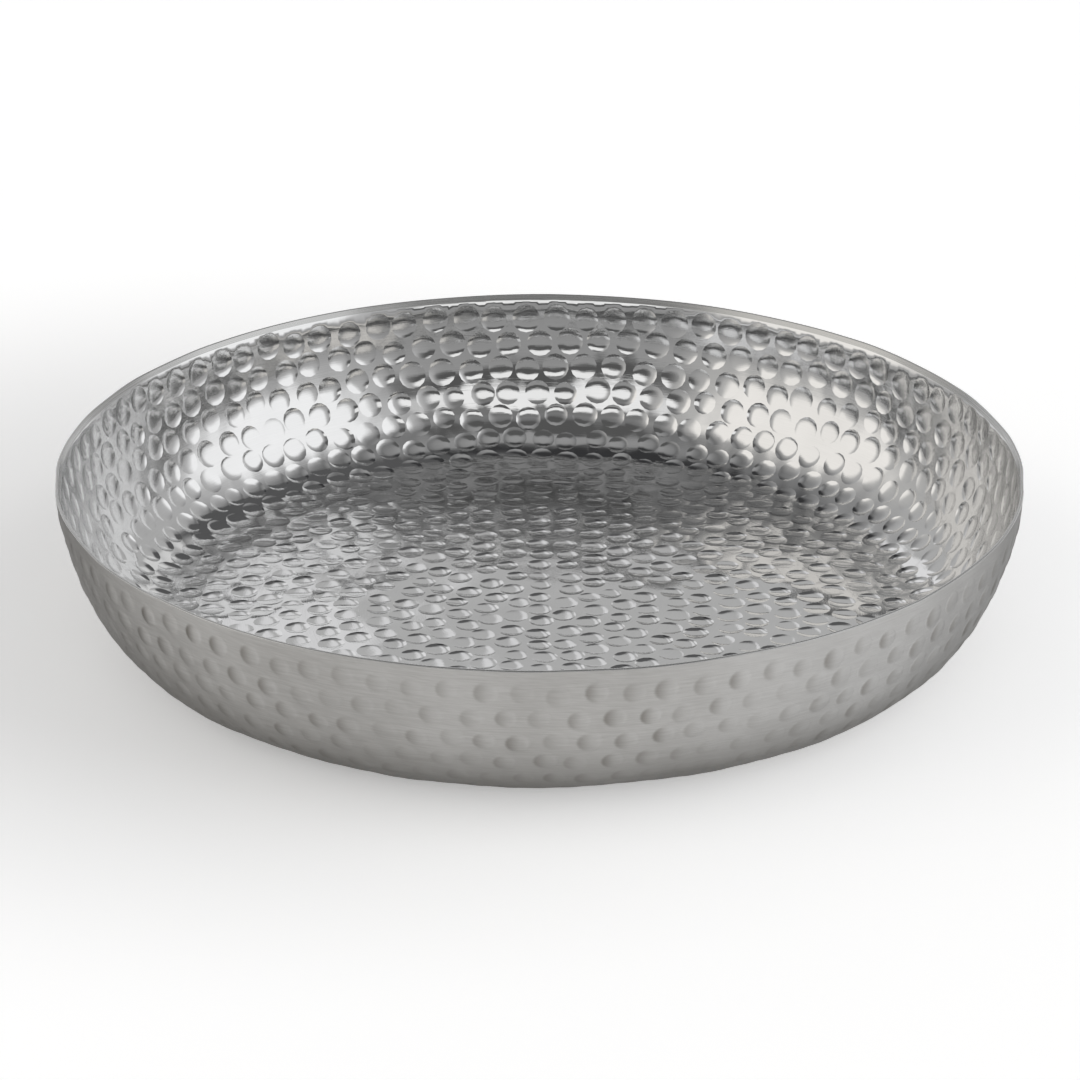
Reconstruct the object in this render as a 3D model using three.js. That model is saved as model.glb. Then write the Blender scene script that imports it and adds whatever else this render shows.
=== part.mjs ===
// Hammered serving tray: one disc of aluminium sheet, raised into a shallow
// round dish, hammered in rings from the inside and trimmed at the rim.
// Millimetres, +Z up, origin on the table under the middle of the base.

import * as THREE from 'three';

// Outside of the dish in section
const RIM_RADIUS = 200;
const HEIGHT = 68.4;
const WALL_CURVE_RADIUS = 115;
const CORNER_CURVE_RADIUS = 39.7;
const RIM_LEAN_DEGREES = 4.1;

// Sheet and its trimmed rim
const SHEET = 1.8;
const BEVEL_HEIGHT = 2.4;
const BEVEL_WIDTH = 0.6;

// Hammer marks, sunk inside and pushed through as softer bumps outside
const MARK_DEPTH = 0.55;
const BUMP_HEIGHT = 0.3;
const TOP_RING_BELOW_RIM = 10;
const MARK_RINGS = 20;
const MARKS_ADDED_PER_RING = 6;
const MARKS_ON_WALL_RING = 90;

// Flat underside, with a coarser ring of facets in its middle
const UNDERSIDE_RING_RADIUS = 75;
const UNDERSIDE_RING_FACETS = 30;

// The section is a flat floor, a corner arc and a longer wall arc, each tangent
// to the next. Angles are slopes of the section: 0 is flat, a right angle upright.
const rimSlope = THREE.MathUtils.degToRad(90 - RIM_LEAN_DEGREES);
const kneeSlope = Math.acos(
  (HEIGHT - CORNER_CURVE_RADIUS + WALL_CURVE_RADIUS * Math.cos(rimSlope))
    / (WALL_CURVE_RADIUS - CORNER_CURVE_RADIUS),
);
const baseRadius = RIM_RADIUS
  - CORNER_CURVE_RADIUS * Math.sin(kneeSlope)
  - WALL_CURVE_RADIUS * (Math.sin(rimSlope) - Math.sin(kneeSlope));
const cornerCentre = new THREE.Vector2(baseRadius, CORNER_CURVE_RADIUS);
const wallCentre = new THREE.Vector2(
  baseRadius - (WALL_CURVE_RADIUS - CORNER_CURVE_RADIUS) * Math.sin(kneeSlope),
  CORNER_CURVE_RADIUS + (WALL_CURVE_RADIUS - CORNER_CURVE_RADIUS) * Math.cos(kneeSlope),
);

// Lengths along the inner face, from the middle of the floor to the rim
const kneeLength = baseRadius + (CORNER_CURVE_RADIUS - SHEET) * kneeSlope;
const rimLength = kneeLength + (WALL_CURVE_RADIUS - SHEET) * (rimSlope - kneeSlope);
const ringSpacing = (rimLength - TOP_RING_BELOW_RIM) / MARK_RINGS;

// A point of the section at a length along the inner face, pushed out from that
// face by an offset: x is the radius, y the height.
function sectionPoint(length, offset) {
  if (length <= baseRadius) {
    return new THREE.Vector2(length, SHEET - offset);
  }
  if (length <= kneeLength) {
    const arc = CORNER_CURVE_RADIUS - SHEET;
    const slope = (length - baseRadius) / arc;
    const out = new THREE.Vector2(Math.sin(slope), -Math.cos(slope));
    return out.multiplyScalar(arc + offset).add(cornerCentre);
  }
  const arc = WALL_CURVE_RADIUS - SHEET;
  const slope = kneeSlope + (length - kneeLength) / arc;
  const out = new THREE.Vector2(Math.sin(slope), -Math.cos(slope));
  return out.multiplyScalar(arc + offset).add(wallCentre);
}

const positions = [];
const triangles = [];

// One closed ring of points about the axis. Each point keeps its index and its
// angle, counted in turns.
function ringOfPoints(count, firstTurn, pointAt) {
  const ring = [];
  for (let i = 0; i < count; i += 1) {
    const turn = firstTurn + i / count;
    const angle = 2 * Math.PI * turn;
    const point = pointAt(i);
    ring.push({ index: positions.length / 3, turn });
    positions.push(point.x * Math.cos(angle), point.x * Math.sin(angle), point.y);
  }
  return ring;
}

// Joins two neighbouring rings with a band of triangles, always stepping along
// the ring that is behind in angle, so rings of different counts meet cleanly.
function joinRings(first, second) {
  const at = (ring, step) => ring[step % ring.length];
  const turnAt = (ring, step) => at(ring, step).turn + Math.floor(step / ring.length);
  let a = 0;
  let b = 0;
  while (a < first.length || b < second.length) {
    const firstIsBehind = turnAt(first, a + 1) <= turnAt(second, b + 1);
    if (b === second.length || (a < first.length && firstIsBehind)) {
      triangles.push(at(first, a).index, at(first, a + 1).index, at(second, b).index);
      a += 1;
    } else {
      triangles.push(at(first, a).index, at(second, b + 1).index, at(second, b).index);
      b += 1;
    }
  }
}

function marksOnRing(ring) {
  return Math.max(1, Math.min(MARKS_ON_WALL_RING, MARKS_ADDED_PER_RING * ring));
}

// Every other ring is turned by half a mark, so that marks sit between marks.
function firstTurnOfRing(ring) {
  return (ring % 2) / 2 / marksOnRing(ring);
}

// A ring of marks: each mark's middle, then the sheet between it and the next.
function markRing(ring, sheetOffset, markOffset) {
  const middle = sectionPoint(ring * ringSpacing, sheetOffset + markOffset);
  const between = sectionPoint(ring * ringSpacing, sheetOffset);
  return ringOfPoints(2 * marksOnRing(ring), firstTurnOfRing(ring), (i) => (
    i % 2 === 0 ? middle : between
  ));
}

// The unmarked sheet halfway to the next ring, with a point beside each mark.
function ridgeRing(ring, sheetOffset) {
  const marks = marksOnRing(Math.max(1, ring));
  const ridge = sectionPoint((ring + 0.5) * ringSpacing, sheetOffset);
  return ringOfPoints(marks, firstTurnOfRing(ring), () => ridge);
}

function plainRing(point) {
  return ringOfPoints(MARKS_ON_WALL_RING, 0, () => point);
}

// Bumps show outside on the rings that clear the flat base.
const firstBumpRing = Math.floor(baseRadius / ringSpacing + 0.5) + 1;

// All rings in order: out under the base, up the outside, over the rim, down
// the inside and in across the floor.
const rings = [];
rings.push(ringOfPoints(1, 0, () => new THREE.Vector2(0, 0)));
rings.push(ringOfPoints(UNDERSIDE_RING_FACETS, 0, () => new THREE.Vector2(UNDERSIDE_RING_RADIUS, 0)));
rings.push(plainRing(new THREE.Vector2(baseRadius, 0)));
rings.push(ridgeRing(firstBumpRing - 1, SHEET));
for (let ring = firstBumpRing; ring <= MARK_RINGS; ring += 1) {
  rings.push(markRing(ring, SHEET, BUMP_HEIGHT));
  rings.push(ridgeRing(ring, SHEET));
}
rings.push(plainRing(new THREE.Vector2(RIM_RADIUS, HEIGHT)));
rings.push(plainRing(new THREE.Vector2(RIM_RADIUS - SHEET + BEVEL_WIDTH, HEIGHT)));
rings.push(plainRing(sectionPoint(rimLength - BEVEL_HEIGHT, 0)));
for (let ring = MARK_RINGS; ring >= 1; ring -= 1) {
  rings.push(ridgeRing(ring, 0));
  rings.push(markRing(ring, 0, MARK_DEPTH));
}
rings.push(ridgeRing(0, 0));
rings.push(ringOfPoints(1, 0, () => sectionPoint(0, MARK_DEPTH)));

for (let i = 1; i < rings.length; i += 1) {
  joinRings(rings[i - 1], rings[i]);
}

const sheetGeometry = new THREE.BufferGeometry();
sheetGeometry.setAttribute('position', new THREE.Float32BufferAttribute(positions, 3));
sheetGeometry.setIndex(triangles);
sheetGeometry.computeVertexNormals();

const aluminium = new THREE.MeshStandardMaterial({
  name: 'hammered aluminium',
  color: 0xc9cac8,
  roughness: 0.22,
  metalness: 1,
});

const sheet = new THREE.Mesh(sheetGeometry, aluminium);
sheet.name = 'tray';

const servingTray = new THREE.Group();
servingTray.add(sheet);

export default servingTray;
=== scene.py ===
import math
import random

import bpy
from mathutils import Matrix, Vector


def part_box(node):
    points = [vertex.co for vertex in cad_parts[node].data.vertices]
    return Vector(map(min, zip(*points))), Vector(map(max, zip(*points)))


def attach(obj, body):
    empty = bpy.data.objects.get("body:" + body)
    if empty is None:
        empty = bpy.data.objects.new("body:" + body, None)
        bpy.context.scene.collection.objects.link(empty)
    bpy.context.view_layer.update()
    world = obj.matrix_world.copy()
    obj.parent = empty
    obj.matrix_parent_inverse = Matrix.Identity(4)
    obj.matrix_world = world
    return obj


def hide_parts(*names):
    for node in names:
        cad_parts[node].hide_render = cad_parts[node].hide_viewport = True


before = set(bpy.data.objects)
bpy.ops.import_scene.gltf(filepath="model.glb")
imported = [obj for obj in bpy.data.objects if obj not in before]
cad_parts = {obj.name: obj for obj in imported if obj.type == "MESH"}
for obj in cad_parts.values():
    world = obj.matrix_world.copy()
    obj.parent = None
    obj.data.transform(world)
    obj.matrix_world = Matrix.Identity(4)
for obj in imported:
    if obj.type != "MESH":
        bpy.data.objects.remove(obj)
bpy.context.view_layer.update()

# The sheet: one disc of aluminium, raised into a shallow round dish with a flat
# floor, a tight corner and a long curved wall. Its section is three tangent
# stretches, so every place on it is known by its length out from the middle.
SHEET = 0.0018
CORNER_CURVE = 0.0397 - SHEET
WALL_CURVE = 0.115 - SHEET
RIM_LEAN = math.radians(4.1)

tray_low, tray_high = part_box("tray")
rim_radius = (tray_high.x - tray_low.x) / 2
height = tray_high.z
rim_slope = math.pi / 2 - RIM_LEAN
knee_slope = math.acos(
    (height - CORNER_CURVE - SHEET + (WALL_CURVE + SHEET) * math.cos(rim_slope))
    / (WALL_CURVE - CORNER_CURVE)
)
base_radius = (
    rim_radius
    - (CORNER_CURVE + SHEET) * math.sin(knee_slope)
    - (WALL_CURVE + SHEET) * (math.sin(rim_slope) - math.sin(knee_slope))
)
knee_length = base_radius + CORNER_CURVE * knee_slope
rim_length = knee_length + WALL_CURVE * (rim_slope - knee_slope)


def add_node(tree, kind, inputs=None, **settings):
    """A new node with its settings, and its inputs set to values or linked to sockets."""
    made = tree.nodes.new(kind)
    for name, value in settings.items():
        setattr(made, name, value)
    for key, value in (inputs or {}).items():
        if isinstance(key, int):
            socket = made.inputs[key]
        else:
            socket = next(s for s in made.inputs if s.name == key and s.enabled)
        if isinstance(value, Number):
            value = value.socket
        if isinstance(value, bpy.types.NodeSocket):
            tree.links.new(value, socket)
        else:
            socket.default_value = value
    return made


class Number:
    """A number inside a node tree, so that a rule can be written as plain arithmetic."""

    def __init__(self, tree, socket):
        self.tree = tree
        self.socket = socket

    def apply(self, operation, *others):
        values = dict(enumerate((self, *others)))
        made = add_node(self.tree, "ShaderNodeMath", values, operation=operation)
        return Number(self.tree, made.outputs[0])

    def __add__(self, other):
        return self.apply("ADD", other)

    def __sub__(self, other):
        return self.apply("SUBTRACT", other)

    def __mul__(self, other):
        return self.apply("MULTIPLY", other)

    def __truediv__(self, other):
        return self.apply("DIVIDE", other)

    def __neg__(self):
        return self.apply("MULTIPLY", -1.0)

    def absolute(self):
        return self.apply("ABSOLUTE")

    def sine(self):
        return self.apply("SINE")

    def cosine(self):
        return self.apply("COSINE")

    def at_least(self, other):
        return self.apply("MAXIMUM", other)

    def at_most(self, other):
        return self.apply("MINIMUM", other)

    def to_power(self, other):
        return self.apply("POWER", other)


def numbers_of(tree, vector):
    """The three parts of a vector, as numbers."""
    split = add_node(tree, "ShaderNodeSeparateXYZ", {0: vector})
    return [Number(tree, split.outputs[i]) for i in range(3)]


def vector_of(tree, x, y, z):
    return add_node(tree, "ShaderNodeCombineXYZ", {0: x, 1: y, 2: z}).outputs[0]


def group_inputs(tree, wanted):
    """Gives a tree its named inputs and returns them as the sockets of one input node."""
    for name, kind, value in wanted:
        socket = tree.interface.new_socket(name, in_out="INPUT", socket_type=kind)
        if value is not None:
            socket.default_value = value
    return tree.nodes.new("NodeGroupInput").outputs


def group_outputs(tree, results):
    """Gives a tree its named outputs and links each to its result."""
    ends = tree.nodes.new("NodeGroupOutput")
    for name, kind, socket in results:
        tree.interface.new_socket(name, in_out="OUTPUT", socket_type=kind)
        tree.links.new(socket, ends.inputs[name])


def section_tree():
    """Length along the inner face, and offset out of it, to radius and height."""
    tree = bpy.data.node_groups.new("dish_section", "GeometryNodeTree")
    sizes = {
        "Length": 0.0,
        "Offset": 0.0,
        "Base Radius": base_radius,
        "Corner Curve": CORNER_CURVE,
        "Wall Curve": WALL_CURVE,
        "Knee Slope": knee_slope,
        "Sheet": SHEET,
    }
    given = group_inputs(tree, [(name, "NodeSocketFloat", value) for name, value in sizes.items()])
    length, offset, base, corner, wall, knee, sheet = (Number(tree, given[name]) for name in sizes)
    corner_turn = ((length - base) / corner).at_least(0.0).at_most(knee)
    wall_turn = ((length - base - corner * knee) / wall).at_least(0.0)
    slope = corner_turn + wall_turn
    wall_slope = knee + wall_turn
    radius = (
        length.at_most(base)
        + corner * corner_turn.sine()
        + wall * (wall_slope.sine() - knee.sine())
        + offset * slope.sine()
    )
    rise = (
        sheet
        + corner
        - corner * corner_turn.cosine()
        + wall * (knee.cosine() - wall_slope.cosine())
        - offset * slope.cosine()
    )
    group_outputs(
        tree,
        [("Radius", "NodeSocketFloat", radius.socket), ("Height", "NodeSocketFloat", rise.socket)],
    )
    return tree


dish_section = section_tree()

# The hammer marks: round dents struck from the inside in rings about the middle, each
# a shallow bowl with a steep lip, pushing a softer bump through to the outside. The
# hand shows in shifts of place, width, depth and tilt from mark to mark.
MARK_RINGS = 20
MARKS_ADDED_PER_RING = 6
MARKS_ON_WALL_RING = 90
TOP_RING_BELOW_RIM = 0.0102
MARK_SEED = 41
RING_SHIFT = 0.1
RADIUS_SPREAD = 0.08
DEPTH_SPREAD = 0.35
BLOW_TILT = 0.4
# The faintest share of painted shade and highlight that a bump on the outside gets.
FAINTEST_PAINTED_LIGHT = 0.3
WIDTH_DRAW, DEPTH_DRAW, PAINTED_LIGHT_DRAW, TILT_DRAW = 1, 2, 3, 4
EDGE_CROWDING = 0.8
TOUCHING = 2e-6
ALMOST_NOTHING = 1e-6

ring_spacing = (rim_length - TOP_RING_BELOW_RIM) / MARK_RINGS
hand = random.Random(MARK_SEED)
mark_places = [(0.0, 0.0, 0.0)]
for ring in range(1, MARK_RINGS + 1):
    marks = min(MARKS_ON_WALL_RING, MARKS_ADDED_PER_RING * ring)
    start = 0.5 * (ring % 2) + hand.uniform(-RING_SHIFT, RING_SHIFT)
    for mark in range(marks):
        turn = 2 * math.pi * (mark + start) / marks
        length = ring * ring_spacing
        mark_places.append((length * math.cos(turn), length * math.sin(turn), 0.0))


def mapped(tree, value, low, high, to_low=0.0, to_high=1.0, curve="SMOOTHSTEP"):
    """A number carried from one range to another, softly unless the curve is LINEAR."""
    made = add_node(
        tree,
        "ShaderNodeMapRange",
        {"Value": value, "From Min": low, "From Max": high, "To Min": to_low, "To Max": to_high},
        interpolation_type=curve,
    )
    return Number(tree, made.outputs[0])


def kept(tree, geometry, name, value, kind="FLOAT", domain="POINT"):
    """The geometry with a value kept on it under a name."""
    made = add_node(
        tree,
        "GeometryNodeStoreNamedAttribute",
        {"Geometry": geometry, "Name": name, "Value": value},
        data_type=kind,
        domain=domain,
    )
    return made.outputs[0]


def kept_value(tree, name, kind="FLOAT"):
    made = add_node(tree, "GeometryNodeInputNamedAttribute", {"Name": name}, data_type=kind)
    return made.outputs[0]


def drawn(tree, seed, low, high):
    """A random number or vector for each point."""
    is_vector = isinstance(low, tuple)
    made = add_node(
        tree,
        "FunctionNodeRandomValue",
        {"Seed": seed, "Min": low, "Max": high},
        data_type="FLOAT_VECTOR" if is_vector else "FLOAT",
    )
    return made.outputs[0 if is_vector else 1]


def joined(tree, *parts):
    made = add_node(tree, "GeometryNodeJoinGeometry")
    for part in parts:
        tree.links.new(part, made.inputs[0])
    return made.outputs[0]


class BlankPlace:
    """A place on the flat blank: its length out from the middle, and its turn."""

    def __init__(self, tree):
        self.tree = tree
        self.spot = add_node(tree, "GeometryNodeInputPosition").outputs[0]
        self.across, self.along, _ = numbers_of(tree, self.spot)
        self.length = (self.across * self.across + self.along * self.along).to_power(0.5)
        self.turn = self.along.apply("ARCTAN2", self.across)

    def raised(self, offset):
        """Radius and spot on the raised dish, pushed out of its inner face by an offset."""
        point = add_node(
            self.tree,
            "GeometryNodeGroup",
            {"Length": self.length, "Offset": offset},
            node_tree=dish_section,
        )
        radius = Number(self.tree, point.outputs["Radius"])
        rise = Number(self.tree, point.outputs["Height"]).at_least(0.0)
        spot = vector_of(self.tree, radius * self.turn.cosine(), radius * self.turn.sine(), rise)
        return radius, spot


class Face:
    """One face of the sheet, which reads its own sizes from the tree's inputs."""

    def __init__(self, tree, given, name):
        self.tree = tree
        self.given = given
        self.name = name
        self.place = BlankPlace(tree)

    def shared(self, size):
        return Number(self.tree, self.given[size])

    def own(self, size):
        return self.shared(f"{self.name} {size}")

    def varied(self, size, spread, draw):
        """A size that differs from mark to mark."""
        seed = self.shared("Seed") + draw
        share = Number(self.tree, drawn(self.tree, seed, 1.0 - spread, 1.0 + spread))
        return self.own(size) * share

    def mark_centres(self):
        """The middles of the marks, shifted by hand, each with its own width and blow."""
        tree, place, given = self.tree, self.place, self.given
        shift = drawn(tree, given["Seed"], (-1.0, -1.0, 0.0), (1.0, 1.0, 0.0))
        shift = add_node(
            tree,
            "ShaderNodeVectorMath",
            {0: shift, "Scale": given["Place Spread"]},
            operation="SCALE",
        )
        centres = add_node(
            tree,
            "GeometryNodeSetPosition",
            {"Geometry": given["Geometry"], "Offset": shift.outputs[0]},
        )
        unmarked = place.length.apply("LESS_THAN", self.own("Marks From"))
        centres = add_node(
            tree,
            "GeometryNodeDeleteGeometry",
            {"Geometry": centres.outputs[0], "Selection": unmarked},
            domain="POINT",
        ).outputs[0]

        # The width of each mark stops short of half the way to its nearest neighbour.
        ring_radius, spot = place.raised(0.0)
        nearest = add_node(tree, "GeometryNodeIndexOfNearest", {"Position": spot})
        neighbour = add_node(
            tree,
            "GeometryNodeFieldAtIndex",
            {"Index": nearest.outputs[0], "Value": spot},
            data_type="FLOAT_VECTOR",
            domain="POINT",
        )
        room = add_node(
            tree, "ShaderNodeVectorMath", {0: spot, 1: neighbour.outputs[0]}, operation="DISTANCE"
        )
        room = Number(tree, room.outputs["Value"]) * self.shared("Share Of Room")
        radius = self.varied("Mark Radius", RADIUS_SPREAD, WIDTH_DRAW).at_most(room)
        stretch = (place.length / ring_radius.at_least(ALMOST_NOTHING)).at_least(1.0)
        scale = vector_of(tree, radius, radius * stretch, 1.0)

        # Blows are lighter on the floor than on the wall.
        blow = mapped(
            tree,
            place.length,
            given["Floor Radius"],
            self.own("Full Depth From"),
            self.own("Floor Depth Share"),
        )
        depth = self.varied("Mark Depth", DEPTH_SPREAD, DEPTH_DRAW) * blow
        # Each mark's share of the painted shade and highlight on its outside bump.
        painted_light_share = drawn(tree, self.shared("Seed") + PAINTED_LIGHT_DRAW, FAINTEST_PAINTED_LIGHT, 1.0)
        most = (BLOW_TILT, BLOW_TILT, 0.0)
        least = tuple(-part for part in most)
        tilt = drawn(tree, self.shared("Seed") + TILT_DRAW, least, most)
        centres = kept(tree, centres, "mark_depth", depth)
        centres = kept(tree, centres, "mark_painted_light_share", painted_light_share)
        centres = kept(tree, centres, "mark_tilt", tilt, "FLOAT_VECTOR")
        return centres, scale

    def mark_shape(self):
        """One mark as a flat disc, in rings that crowd towards its edge."""
        tree, place = self.tree, self.place
        disc = add_node(
            tree,
            "GeometryNodeMeshCone",
            {
                "Vertices": self.own("Mark Sides"),
                "Side Segments": self.own("Mark Steps"),
                "Radius Top": 0.0,
                "Radius Bottom": 1.0,
                "Depth": 1.0,
            },
            fill_type="NONE",
        )
        crowd = place.length * -EDGE_CROWDING + (1.0 + EDGE_CROWDING)
        flat = add_node(
            tree,
            "GeometryNodeSetPosition",
            {
                "Geometry": disc.outputs[0],
                "Position": vector_of(tree, place.across * crowd, place.along * crowd, 0.0),
            },
        )
        reach = place.length * self.shared("Reach At Edge")
        bowl = (-(reach * reach) + 1.0).at_least(0.0)
        lip = (-reach.to_power(self.own("Lip Steepness")) + 1.0).at_least(0.0)
        hollow = lip + (bowl - lip) * self.own("Bowl Share")
        shape = kept(tree, flat.outputs[0], "hollow", hollow)
        shape = kept(tree, shape, "mark_spot", place.spot, "FLOAT_VECTOR")
        return kept(tree, shape, "struck", 1.0, domain="FACE")

    def flat_face(self):
        """The blank with a hole for each mark, and the marks set in their holes."""
        tree, given = self.tree, self.given
        centres, scale = self.mark_centres()
        facing = vector_of(tree, 0.0, 0.0, self.place.turn)

        def on_marks(shape):
            placed = add_node(
                tree,
                "GeometryNodeInstanceOnPoints",
                {"Points": centres, "Instance": shape, "Rotation": facing, "Scale": scale},
            )
            real = add_node(tree, "GeometryNodeRealizeInstances", {"Geometry": placed.outputs[0]})
            return real.outputs[0]

        hole = add_node(
            tree,
            "GeometryNodeCurvePrimitiveCircle",
            {"Resolution": self.own("Mark Sides"), "Radius": 1.0},
        )
        edge = add_node(
            tree,
            "GeometryNodeCurvePrimitiveCircle",
            {"Resolution": given["Rim Points"], "Radius": given["Blank Radius"]},
        )
        outlines = joined(tree, on_marks(hole.outputs[0]), edge.outputs[0])
        blank = add_node(tree, "GeometryNodeFillCurve", {"Curve": outlines}, mode="TRIANGLES")
        whole = joined(tree, on_marks(self.mark_shape()), blank.outputs[0])
        whole = add_node(
            tree, "GeometryNodeMergeByDistance", {"Geometry": whole, "Distance": TOUCHING}
        )

        # The edge of each mark stays crisp: there a struck face meets an unstruck one.
        struck_share = Number(tree, kept_value(tree, "struck"))
        on_edge = (struck_share - 0.5).absolute().apply("LESS_THAN", 0.25)
        return kept(tree, whole.outputs[0], "sharp_edge", on_edge, "BOOLEAN", "EDGE")

    def raised_face(self, offset, finish):
        """The whole face bent to the section, with the slow waviness of worked sheet."""
        tree, place = self.tree, self.place
        wave = add_node(
            tree,
            "ShaderNodeTexNoise",
            {"Vector": place.spot, "Scale": self.given["Wave Scale"], "Detail": 1.0},
        )
        waviness = (Number(tree, wave.outputs[0]) - 0.5) * self.shared("Wave Height")
        uneven = add_node(
            tree,
            "ShaderNodeVectorMath",
            {
                0: kept_value(tree, "mark_spot", "FLOAT_VECTOR"),
                1: kept_value(tree, "mark_tilt", "FLOAT_VECTOR"),
            },
            operation="DOT_PRODUCT",
        )
        lean = Number(tree, uneven.outputs["Value"]) + 1.0
        depth = Number(tree, kept_value(tree, "mark_depth")) * lean
        out = Number(tree, kept_value(tree, "hollow")) * depth + waviness + offset
        bent = add_node(
            tree,
            "GeometryNodeSetPosition",
            {"Geometry": self.flat_face(), "Position": place.raised(out)[1]},
        )
        return kept(tree, bent.outputs[0], "finish", finish, "INT", "FACE")


# The rim: the sheet's own edge, trimmed level on the lathe, with a small bevel
# turned on its inner side, that side's corner eased and the outer corner rounded.
BEVEL_HEIGHT = 0.0024
BEVEL_WIDTH = 0.0006
INNER_EASE = 0.00015
OUTER_ROUND = 0.0004
CUT_BACK = 0.3
BEVEL_START = 0.05
RIM_GAP = 2e-5
FINISHES = ("Outside Finish", "Inside Finish", "Rim Finish")

blank_radius = rim_length - BEVEL_HEIGHT


def section_place(length, offset):
    """Radius and height of a place on the wall, as the dish's section gives them."""
    slope = knee_slope + (length - knee_length) / WALL_CURVE
    centre_radius = base_radius - (WALL_CURVE - CORNER_CURVE) * math.sin(knee_slope)
    centre_height = height + (WALL_CURVE + SHEET) * math.cos(rim_slope)
    out = WALL_CURVE + offset
    return centre_radius + out * math.sin(slope), centre_height - out * math.cos(slope)


bevel_foot = section_place(blank_radius, 0.0)
bevel_top = rim_radius - SHEET + BEVEL_WIDTH
rim_points = [
    bevel_foot,
    (bevel_foot[0] + CUT_BACK * BEVEL_WIDTH, bevel_foot[1] + BEVEL_START * BEVEL_HEIGHT),
    (bevel_top - CUT_BACK * INNER_EASE, height - INNER_EASE),
    (bevel_top + INNER_EASE, height),
    (rim_radius - OUTER_ROUND, height),
    (rim_radius - CUT_BACK * OUTER_ROUND, height - CUT_BACK * OUTER_ROUND),
    section_place(rim_length - OUTER_ROUND, SHEET),
    section_place(rim_length - 3 * OUTER_ROUND, SHEET),
    section_place(blank_radius, SHEET),
]


def grown_rim(tree, inner):
    """The rim, grown from the inner face's free edge one turned step at a time."""
    sides = add_node(tree, "GeometryNodeInputMeshEdgeNeighbors").outputs[0]
    free = add_node(
        tree, "FunctionNodeCompare", {"A": sides, "B": 1}, data_type="INT", operation="EQUAL"
    ).outputs[0]
    place = add_node(tree, "GeometryNodeInputPosition").outputs[0]
    level = add_node(
        tree, "ShaderNodeVectorMath", {0: place, 1: (1.0, 1.0, 0.0)}, operation="MULTIPLY"
    )
    away = add_node(tree, "ShaderNodeVectorMath", {0: level.outputs[0]}, operation="NORMALIZE")
    rim = inner
    for (radius, rise), (next_radius, next_rise) in zip(rim_points, rim_points[1:]):
        out, up = next_radius - radius, next_rise - rise
        finish = "Rim Finish" if up > 0 or out > 0 else "Outside Finish"
        sideways = add_node(
            tree, "ShaderNodeVectorMath", {0: away.outputs[0], "Scale": out}, operation="SCALE"
        )
        step = add_node(
            tree,
            "ShaderNodeVectorMath",
            {0: sideways.outputs[0], 1: (0.0, 0.0, up)},
            operation="ADD",
        )
        grown = add_node(
            tree,
            "GeometryNodeExtrudeMesh",
            {"Mesh": rim, "Selection": free, "Offset": step.outputs[0], "Offset Scale": 1.0},
            mode="EDGES",
        )
        turned = add_node(
            tree,
            "GeometryNodeStoreNamedAttribute",
            {
                "Geometry": grown.outputs["Mesh"],
                "Selection": grown.outputs["Side"],
                "Name": "finish",
                "Value": FINISHES.index(finish),
            },
            data_type="INT",
            domain="FACE",
        )
        rim = turned.outputs[0]
        free = grown.outputs["Top"]
    return rim


def tray_tree():
    """The whole tray from its mark places: inner face, rim and outer face in one skin."""
    tree = bpy.data.node_groups.new("hammered_tray", "GeometryNodeTree")
    wanted = [
        ("Geometry", "NodeSocketGeometry", None),
        ("Seed", "NodeSocketInt", 0),
        ("Rim Points", "NodeSocketInt", 300),
    ]
    for name in (
        "Place Spread",
        "Share Of Room",
        "Reach At Edge",
        "Blank Radius",
        "Floor Radius",
        "Wave Height",
        "Wave Scale",
    ):
        wanted.append((name, "NodeSocketFloat", 0.0))
    for face in ("Inner", "Outer"):
        for name in (
            "Marks From",
            "Mark Radius",
            "Mark Depth",
            "Lip Steepness",
            "Bowl Share",
            "Floor Depth Share",
            "Full Depth From",
        ):
            wanted.append((f"{face} {name}", "NodeSocketFloat", 0.0))
        for name in ("Mark Sides", "Mark Steps"):
            wanted.append((f"{face} {name}", "NodeSocketInt", 3))
    for finish in FINISHES:
        wanted.append((finish, "NodeSocketMaterial", None))
    given = group_inputs(tree, wanted)

    outer = Face(tree, given, "Outer").raised_face(SHEET, FINISHES.index("Outside Finish"))
    outer = add_node(tree, "GeometryNodeFlipFaces", {"Mesh": outer}).outputs[0]
    inner = Face(tree, given, "Inner").raised_face(0.0, FINISHES.index("Inside Finish"))
    skin = joined(tree, grown_rim(tree, inner), outer)
    closed = add_node(tree, "GeometryNodeMergeByDistance", {"Geometry": skin, "Distance": RIM_GAP})
    smooth = add_node(tree, "GeometryNodeSetShadeSmooth", {"Geometry": closed.outputs[0]})
    whole = add_node(tree, "GeometryNodeRealizeInstances", {"Geometry": smooth.outputs[0]})
    real = whole.outputs[0]
    chosen = kept_value(tree, "finish", "INT")
    for number, finish in enumerate(FINISHES):
        faces = add_node(
            tree,
            "FunctionNodeCompare",
            {"A": chosen, "B": number},
            data_type="INT",
            operation="EQUAL",
        )
        real = add_node(
            tree,
            "GeometryNodeSetMaterial",
            {"Geometry": real, "Selection": faces.outputs[0], "Material": given[finish]},
        ).outputs[0]
    group_outputs(tree, [("Geometry", "NodeSocketGeometry", real)])
    return tree


def new_finish(name):
    material = bpy.data.materials.new(name)
    material.use_nodes = True
    tree = material.node_tree
    return material, tree, tree.nodes["Principled BSDF"]


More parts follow.
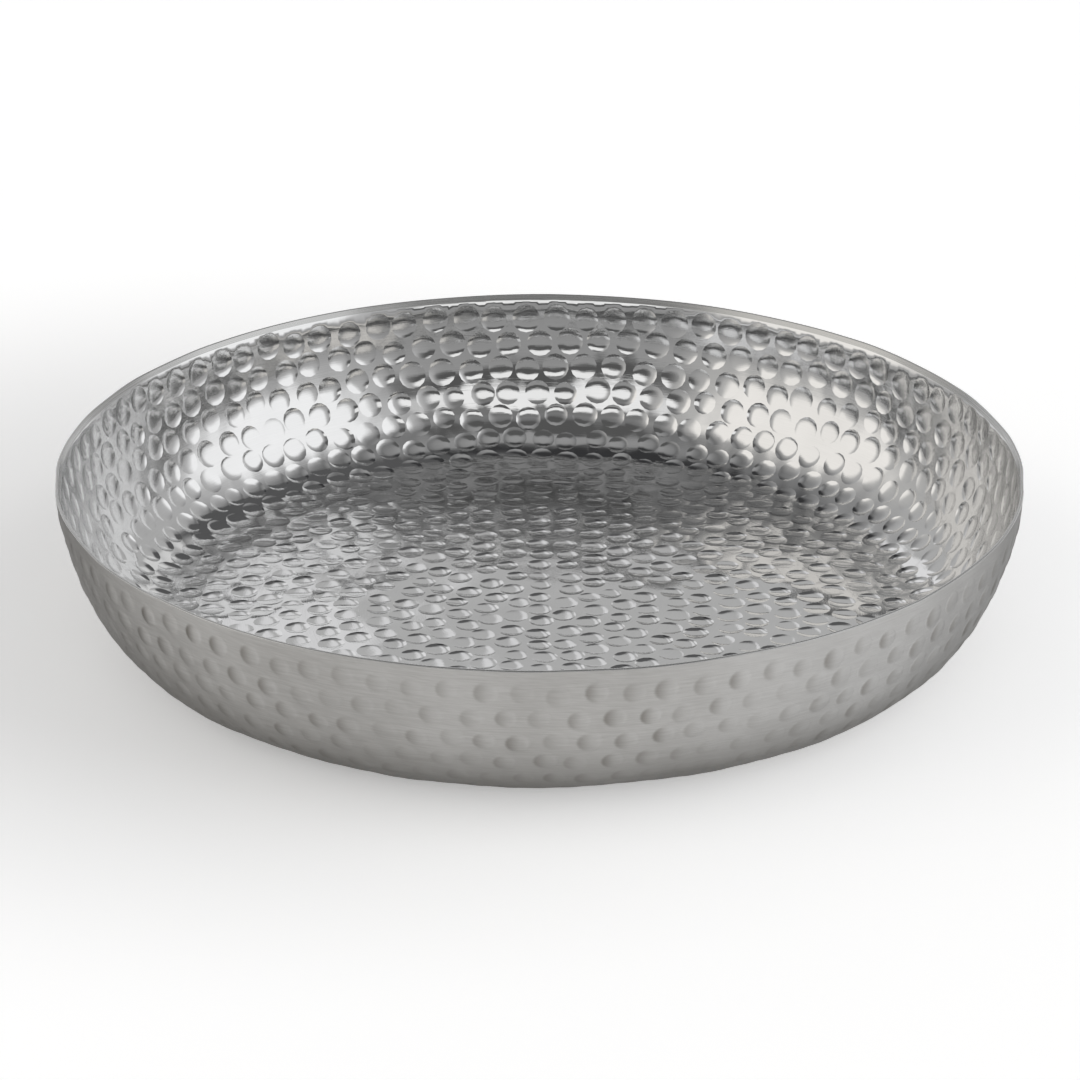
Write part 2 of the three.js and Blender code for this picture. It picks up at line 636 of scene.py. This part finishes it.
def brush_tree():
    """Fine lines left by turning or brushing: long round the axis, close across the section."""
    tree = bpy.data.node_groups.new("brush_lines", "ShaderNodeTree")
    names = ("Lines Round", "Lines Across", "Slant")
    given = group_inputs(tree, [(name, "NodeSocketFloat", 0.0) for name in names])
    lines_round, lines_across, slant = (Number(tree, given[name]) for name in names)
    x, y, z = numbers_of(tree, add_node(tree, "ShaderNodeTexCoord").outputs["Object"])
    turn = y.apply("ARCTAN2", x)
    across = ((x * x + y * y).to_power(0.5) + z + turn * slant) * lines_across
    spot = vector_of(tree, turn.cosine() * lines_round, turn.sine() * lines_round, across)
    noise = add_node(
        tree, "ShaderNodeTexNoise", {"Vector": spot, "Scale": 1.0, "Detail": 3.0, "Roughness": 0.6}
    )
    group_outputs(tree, [("Lines", "NodeSocketFloat", noise.outputs[0])])
    return tree


brush_lines = brush_tree()


def brushed(tree, lines_round, lines_across, slant=0.0):
    made = add_node(
        tree,
        "ShaderNodeGroup",
        {"Lines Round": lines_round, "Lines Across": lines_across, "Slant": slant},
        node_tree=brush_lines,
    )
    return Number(tree, made.outputs[0])


def clouded(tree, scale, detail):
    place = add_node(tree, "ShaderNodeTexCoord").outputs["Object"]
    made = add_node(
        tree, "ShaderNodeTexNoise", {"Vector": place, "Scale": scale, "Detail": detail}
    )
    return Number(tree, made.outputs[0])


def colour_between(tree, share, first, second):
    """A colour between two others, each a tuple or another node's colour."""
    ends = [(*end, 1.0) if isinstance(end, tuple) else end for end in (first, second)]
    made = add_node(
        tree, "ShaderNodeMix", {"Factor": share, "A": ends[0], "B": ends[1]}, data_type="RGBA"
    )
    return next(socket for socket in made.outputs if socket.enabled)


# Noise patterns lie almost wholly between these two values.
PATTERN_LOW = 0.3
PATTERN_HIGH = 0.7


def finished(tree, shader, colour, pattern, roughness, lines, bump, bump_depth):
    """Bare metal of a colour, with a roughness range and fine lines in its surface."""
    shader.inputs["Metallic"].default_value = 1.0
    tree.links.new(colour, shader.inputs["Base Color"])
    rough = mapped(tree, pattern, PATTERN_LOW, PATTERN_HIGH, *roughness, curve="LINEAR")
    tree.links.new(rough.socket, shader.inputs["Roughness"])
    relief = add_node(
        tree, "ShaderNodeBump", {"Height": lines, "Strength": bump, "Distance": bump_depth}
    )
    tree.links.new(relief.outputs[0], shader.inputs["Normal"])


RIM_DARK = (0.38, 0.38, 0.375)
RIM_LIGHT = (0.55, 0.55, 0.54)
RIM_ROUGHNESS = (0.2, 0.32)


def turned_rim():
    material, tree, shader = new_finish("turned_rim")
    lines = brushed(tree, lines_round=5.0, lines_across=6000.0)
    colour = colour_between(tree, lines, RIM_DARK, RIM_LIGHT)
    finished(tree, shader, colour, lines, RIM_ROUGHNESS, lines, bump=0.1, bump_depth=0.0001)
    return material


# The inside: bare aluminium, polished after hammering until it mirrors the room.
# The wheel leaves faint rings and a slightly cloudy shine.
POLISHED_DARK = (0.58, 0.58, 0.578)
POLISHED_LIGHT = (0.74, 0.74, 0.737)
POLISHED_ROUGHNESS = (0.012, 0.035)
CLOUD_SHARE, RING_SHARE = 0.55, 0.45


def polished_inside():
    material, tree, shader = new_finish("polished_inside")
    lines = brushed(tree, lines_round=9.0, lines_across=2600.0)
    cloud = clouded(tree, scale=55.0, detail=4.0)
    shine = cloud * CLOUD_SHARE + lines * RING_SHARE
    colour = colour_between(tree, shine, POLISHED_DARK, POLISHED_LIGHT)
    finished(tree, shader, colour, shine, POLISHED_ROUGHNESS, lines, bump=0.06, bump_depth=0.0002)
    return material


# The outside: bare aluminium, brushed round the tray with abrasive. Each bump
# carries painted shade on one side and a painted highlight on the other. The metal
# has painted shade towards the base and on the left, and painted light on the right.
BRUSHED_DARK = (0.42, 0.411, 0.397)
BRUSHED_LIGHT = (0.58, 0.572, 0.558)
# Painted warm shade on the left of the tray and painted light on its right.
LEFT_PAINTED_SHADE = (0.23, 0.22, 0.205)
RIGHT_PAINTED_LIGHT = (0.63, 0.635, 0.64)
# Painted shade and a painted highlight on the two sides of each outside bump.
BUMP_PAINTED_SHADE = (0.21, 0.196, 0.178)
BUMP_PAINTED_HIGHLIGHT = (0.66, 0.655, 0.645)
# Painted shade on the outside towards the base.
BASE_PAINTED_SHADE = (0.23, 0.223, 0.212)
BRUSHED_ROUGHNESS = (0.36, 0.46)
FINE_SHARE, COARSE_SHARE = 0.6, 0.4
LINE_SHARE, STAIN_SHARE = 0.6, 0.4
# Where the painted shade towards the base starts and is full, and its share.
BASE_SHADE_FROM, BASE_SHADE_FULL, BASE_SHADE_SHARE = 0.04, 0.003, 0.75
# Where the painted warm shade on the left and the painted light on the right fade in.
LEFT_SHADE_FROM, LEFT_SHADE_FULL, LEFT_SHADE_SHARE = 0.02, -0.15, 0.16
RIGHT_LIGHT_FROM, RIGHT_LIGHT_FULL, RIGHT_LIGHT_SHARE = 0.0, 0.16, 0.3
# How strong the painted shade and highlight on the bumps are, stronger on the left of the tray and
# in random patches, and where on each bump they lie.
PAINTED_LIGHT_LEFT_SPAN = 0.12
LEAST_PAINTED_LIGHT, PATCH_SHARE, SIDE_SHARE = 0.3, 0.5, 0.35
PATCH_FROM, PATCH_FULL = 0.35, 0.6
BUMP_FULL = 0.5
PAINTED_SHADE_SIDE_FROM, PAINTED_HIGHLIGHT_SIDE_FROM = -0.4, 0.3
PAINTED_HIGHLIGHT_SHARE = 0.5


def brushed_outside():
    material, tree, shader = new_finish("brushed_outside")
    fine = brushed(tree, lines_round=10.0, lines_across=1500.0)
    coarse = brushed(tree, lines_round=22.0, lines_across=700.0, slant=0.03)
    lines = fine * FINE_SHARE + coarse * COARSE_SHARE
    stain = clouded(tree, scale=22.0, detail=5.0)
    pattern = stain * STAIN_SHARE + lines * LINE_SHARE
    x, _, z = numbers_of(tree, add_node(tree, "ShaderNodeTexCoord").outputs["Object"])

    def held(name):
        return add_node(tree, "ShaderNodeAttribute", attribute_name=name).outputs

    # Painted shade on one side of each bump and a painted highlight on the other.
    lean = numbers_of(tree, held("mark_spot")["Vector"])[1]
    patches = mapped(tree, clouded(tree, scale=9.0, detail=1.0), PATCH_FROM, PATCH_FULL)
    painted_light_leftward = mapped(tree, -x, -PAINTED_LIGHT_LEFT_SPAN, PAINTED_LIGHT_LEFT_SPAN)
    painted_light_strength = patches * PATCH_SHARE + painted_light_leftward * SIDE_SHARE + LEAST_PAINTED_LIGHT
    on_bump = mapped(tree, held("hollow")["Fac"], 0.0, BUMP_FULL)
    painted_bump_light = on_bump * Number(tree, held("mark_painted_light_share")["Fac"]) * painted_light_strength
    painted_shade_side = painted_bump_light * mapped(tree, -lean, PAINTED_SHADE_SIDE_FROM, 1.0)
    painted_highlight_side = painted_bump_light * mapped(tree, lean, PAINTED_HIGHLIGHT_SIDE_FROM, 1.0)

    brushing = mapped(tree, pattern, PATTERN_LOW, PATTERN_HIGH)
    colour = colour_between(tree, brushing, BRUSHED_DARK, BRUSHED_LIGHT)
    for share, other in (
        # painted warm shade on the left, painted light on the right
        (mapped(tree, -x, -LEFT_SHADE_FROM, -LEFT_SHADE_FULL) * LEFT_SHADE_SHARE, LEFT_PAINTED_SHADE),
        (mapped(tree, x, RIGHT_LIGHT_FROM, RIGHT_LIGHT_FULL) * RIGHT_LIGHT_SHARE, RIGHT_PAINTED_LIGHT),
        # painted shade and a painted highlight on the bumps
        (painted_shade_side, BUMP_PAINTED_SHADE),
        (painted_highlight_side * PAINTED_HIGHLIGHT_SHARE, BUMP_PAINTED_HIGHLIGHT),
        # painted shade towards the base
        (mapped(tree, -z, -BASE_SHADE_FROM, -BASE_SHADE_FULL) * BASE_SHADE_SHARE, BASE_PAINTED_SHADE),
    ):
        colour = colour_between(tree, share, colour, other)
    finished(tree, shader, colour, pattern, BRUSHED_ROUGHNESS, lines, bump=0.35, bump_depth=0.0002)
    shader.inputs["Anisotropic"].default_value = 0.8
    shader.inputs["Anisotropic Rotation"].default_value = 0.25
    shader.inputs["Specular Tint"].default_value = (0.35, 0.35, 0.35, 1.0)
    tangent = add_node(tree, "ShaderNodeTangent", direction_type="RADIAL", axis="Z")
    tree.links.new(tangent.outputs[0], shader.inputs["Tangent"])
    return material


# The tray put together: the mark places on the flat blank are hammered, raised
# and rimmed in one go, and the result is kept as one closed aluminium skin.
layout = bpy.data.meshes.new("mark_layout")
layout.from_pydata(mark_places, [], [])
forming = bpy.data.objects.new("forming", layout)
bpy.context.scene.collection.objects.link(forming)
hammering = forming.modifiers.new("hammering", "NODES")
hammering.node_group = tray_tree()
settings = {
    "Seed": MARK_SEED,
    "Rim Points": 300,
    "Place Spread": 0.0013,
    "Share Of Room": 0.493,
    "Reach At Edge": 1.04,
    "Blank Radius": blank_radius,
    "Floor Radius": base_radius,
    "Wave Height": 0.0024,
    "Wave Scale": 20.0,
    "Inner Marks From": 0.0,
    "Inner Mark Radius": 0.0062,
    "Inner Mark Depth": 0.00046,
    "Inner Lip Steepness": 8.0,
    "Inner Bowl Share": 0.45,
    "Inner Floor Depth Share": 0.85,
    "Inner Full Depth From": base_radius + 0.02,
    "Inner Mark Sides": 14,
    "Inner Mark Steps": 4,
    "Outer Marks From": base_radius,
    "Outer Mark Radius": 0.0052,
    "Outer Mark Depth": 0.0004,
    "Outer Lip Steepness": 2.0,
    "Outer Bowl Share": 1.0,
    "Outer Floor Depth Share": 0.05,
    "Outer Full Depth From": base_radius + 0.06,
    "Outer Mark Sides": 14,
    "Outer Mark Steps": 3,
    "Outside Finish": brushed_outside(),
    "Inside Finish": polished_inside(),
    "Rim Finish": turned_rim(),
}
for socket in hammering.node_group.interface.items_tree:
    if socket.in_out == "INPUT" and socket.name in settings:
        hammering[socket.identifier] = settings[socket.name]
bpy.context.view_layer.update()
formed = forming.evaluated_get(bpy.context.evaluated_depsgraph_get())
tray_mesh = bpy.data.meshes.new_from_object(formed)
tray_mesh.name = "hammered_tray"
bpy.data.objects.remove(forming)
tray = bpy.data.objects.new("hammered_tray", tray_mesh)
bpy.context.scene.collection.objects.link(tray)
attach(tray, "root")
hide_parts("tray")

# The studio floor: a plain pale sweep that the tray stands on. It shows white
# to the eye and in the metal, apart from a greyer painted shadow close round the tray, centred
# behind it and to the left.
FLOOR_REACH = 6.0
FLOOR_DARK = (0.9, 0.9, 0.9)
FLOOR_LIGHT = (0.92, 0.92, 0.92)
FLOOR_GLOW = 0.5
# The glow inside the painted shadow round the tray, the shadow's middle, and where it fades out.
FLOOR_GLOW_IN_PAINTED_SHADOW = 0.3
PAINTED_SHADOW_MIDDLE = (-0.13, 0.05)
PAINTED_SHADOW_FADE_FROM, PAINTED_SHADOW_FADE_TO = 0.16, 0.4

floor_mesh = bpy.data.meshes.new("studio_floor")
corners = [(FLOOR_REACH * x, FLOOR_REACH * y, 0) for x, y in ((-1, -1), (1, -1), (1, 1), (-1, 1))]
floor_mesh.from_pydata(corners, [], [(0, 1, 2, 3)])
floor = bpy.data.objects.new("studio_floor", floor_mesh)
bpy.context.scene.collection.objects.link(floor)


def pale_floor():
    material, tree, shader = new_finish("pale_floor")
    cloud = clouded(tree, scale=3.0, detail=2.0)
    colour = colour_between(tree, cloud, FLOOR_DARK, FLOOR_LIGHT)
    tree.links.new(colour, shader.inputs["Base Color"])
    shader.inputs["Roughness"].default_value = 0.9
    rays = add_node(tree, "ShaderNodeLightPath").outputs
    seen = Number(tree, rays["Is Camera Ray"])
    for ray in ("Is Glossy Ray", "Is Transmission Ray"):
        seen = seen.at_least(Number(tree, rays[ray]))
    # Less glow close round the tray: a painted shadow, centred behind it and to the left.
    x, y, _ = numbers_of(tree, add_node(tree, "ShaderNodeTexCoord").outputs["Object"])
    x, y = x - PAINTED_SHADOW_MIDDLE[0], y - PAINTED_SHADOW_MIDDLE[1]
    away = (x * x + y * y).to_power(0.5)
    glow_past_painted_shadow = mapped(tree, away, PAINTED_SHADOW_FADE_FROM, PAINTED_SHADOW_FADE_TO, FLOOR_GLOW_IN_PAINTED_SHADOW, FLOOR_GLOW)
    glow = add_node(tree, "ShaderNodeEmission", {"Strength": seen * glow_past_painted_shadow})
    both = add_node(tree, "ShaderNodeAddShader", {0: shader.outputs[0], 1: glow.outputs[0]})
    tree.links.new(both.outputs[0], tree.nodes["Material Output"].inputs["Surface"])
    return material


floor_mesh.materials.append(pale_floor())

# The studio light: a grey room with soft boxes and dark panels round the tray. Each
# has the azimuth (0 behind the tray, 180 over the camera) and elevation of its middle,
# its half width and height in degrees, the share of it that fades, and its colour.
ROOM = [
    (0.0, (0.3, 0.3, 0.3)),
    (0.6, (0.34, 0.34, 0.342)),
    (0.9, (0.16, 0.16, 0.162)),
    (1.0, (0.33, 0.33, 0.332)),
]
ROOM_STRENGTH = 1.25
BOX_SQUARENESS = 4.0
SOFT_BOXES = [
    (0, 18, 75, 26, 0.5, (0.46, 0.46, 0.46)),
    (0, 6, 60, 12, 0.45, (0.8, 0.8, 0.81)),
    (-17, 27, 7, 13, 0.2, (0.8, 0.8, 0.81)),
    (-5, 28, 3.2, 17, 0.5, (0.72, 0.72, 0.73)),
    (22, 22, 8, 11, 0.2, (0.7, 0.7, 0.7)),
    (0, 62, 39, 20, 0.5, (0.04, 0.04, 0.042)),
    (20, 51, 24, 18, 0.2, (0.1, 0.1, 0.102)),
    (-100, 31, 60, 37, 0.8, (0.64, 0.63, 0.613)),
    (100, 33, 60, 37, 0.8, (0.66, 0.66, 0.665)),
    (-100, 31, 34, 24, 0.35, (0.95, 0.925, 0.89)),
    (100, 33, 34, 26, 0.35, (1.0, 1.005, 1.015)),
    (180, 72, 60, 11, 0.3, (0.1, 0.1, 0.1)),
    (180, 46, 44, 7, 0.4, (0.2, 0.2, 0.2)),
    (180, 23, 44, 7, 0.35, (0.1, 0.1, 0.1)),
    (180, 34, 37, 8.5, 0.25, (0.95, 0.95, 0.95)),
]


def soft_box_tree():
    """How far into a soft box a direction points: 1 at its middle, fading to 0 at its edge."""
    tree = bpy.data.node_groups.new("soft_box", "ShaderNodeTree")
    names = ("Azimuth", "Elevation", "Half Width", "Half Height", "Fade")
    given = group_inputs(tree, [(name, "NodeSocketFloat", 0.5) for name in names])
    _, elevation, half_width, half_height, fade = (Number(tree, given[name]) for name in names)
    turned = add_node(
        tree,
        "ShaderNodeVectorRotate",
        {
            "Vector": add_node(tree, "ShaderNodeTexCoord").outputs["Generated"],
            "Angle": given["Azimuth"],
        },
        rotation_type="Z_AXIS",
    )
    x, y, z = numbers_of(tree, turned.outputs[0])
    across = (x.apply("ARCTAN2", y) / half_width).absolute()
    upward = ((z.apply("ARCSINE") - elevation) / half_height).absolute()
    away = across.to_power(BOX_SQUARENESS) + upward.to_power(BOX_SQUARENESS)
    away = away.to_power(1.0 / BOX_SQUARENESS)
    inside = mapped(tree, away, -fade + 1.0, 1.0, 1.0, 0.0)
    group_outputs(tree, [("Inside", "NodeSocketFloat", inside.socket)])
    return tree


soft_box = soft_box_tree()
world = bpy.data.worlds.new("studio")
world.use_nodes = True
bpy.context.scene.world = world
room = world.node_tree
_, _, upward = numbers_of(room, add_node(room, "ShaderNodeTexCoord").outputs["Generated"])
ramp = add_node(room, "ShaderNodeValToRGB", {0: upward})
stops = ramp.color_ramp.elements
for position, colour in ROOM[1:-1]:
    stops.new(position)
for stop, (position, colour) in zip(stops, ROOM):
    stop.position = position
    stop.color = (*colour, 1.0)
light = ramp.outputs[0]
for azimuth, elevation, half_width, half_height, fade, colour in SOFT_BOXES:
    inside = add_node(
        room,
        "ShaderNodeGroup",
        {
            "Azimuth": math.radians(azimuth),
            "Elevation": math.radians(elevation),
            "Half Width": math.radians(half_width),
            "Half Height": math.radians(half_height),
            "Fade": fade,
        },
        node_tree=soft_box,
    )
    light = colour_between(room, inside.outputs[0], light, colour)
room.links.new(light, room.nodes["Background"].inputs["Color"])
room.nodes["Background"].inputs["Strength"].default_value = ROOM_STRENGTH

# The camera: a long lens looking down on the tray from the front, as in the
# photograph.
CAMERA_ELEVATION = math.radians(23.814)
CAMERA_DISTANCE = 1.8
LOOK_AT = Vector((0.0, 0.0, 0.0337))

camera = bpy.data.cameras.new("camera")
camera.sensor_width = 36.0
camera.lens = 143.65
camera_holder = bpy.data.objects.new("camera", camera)
back = Vector((0.0, -math.cos(CAMERA_ELEVATION), math.sin(CAMERA_ELEVATION)))
camera_holder.location = LOOK_AT + back * CAMERA_DISTANCE
camera_holder.rotation_euler = back.to_track_quat("Z", "Y").to_euler()
bpy.context.scene.collection.objects.link(camera_holder)
bpy.context.scene.camera = camera_holder
bpy.context.scene.view_settings.view_transform = "Standard"
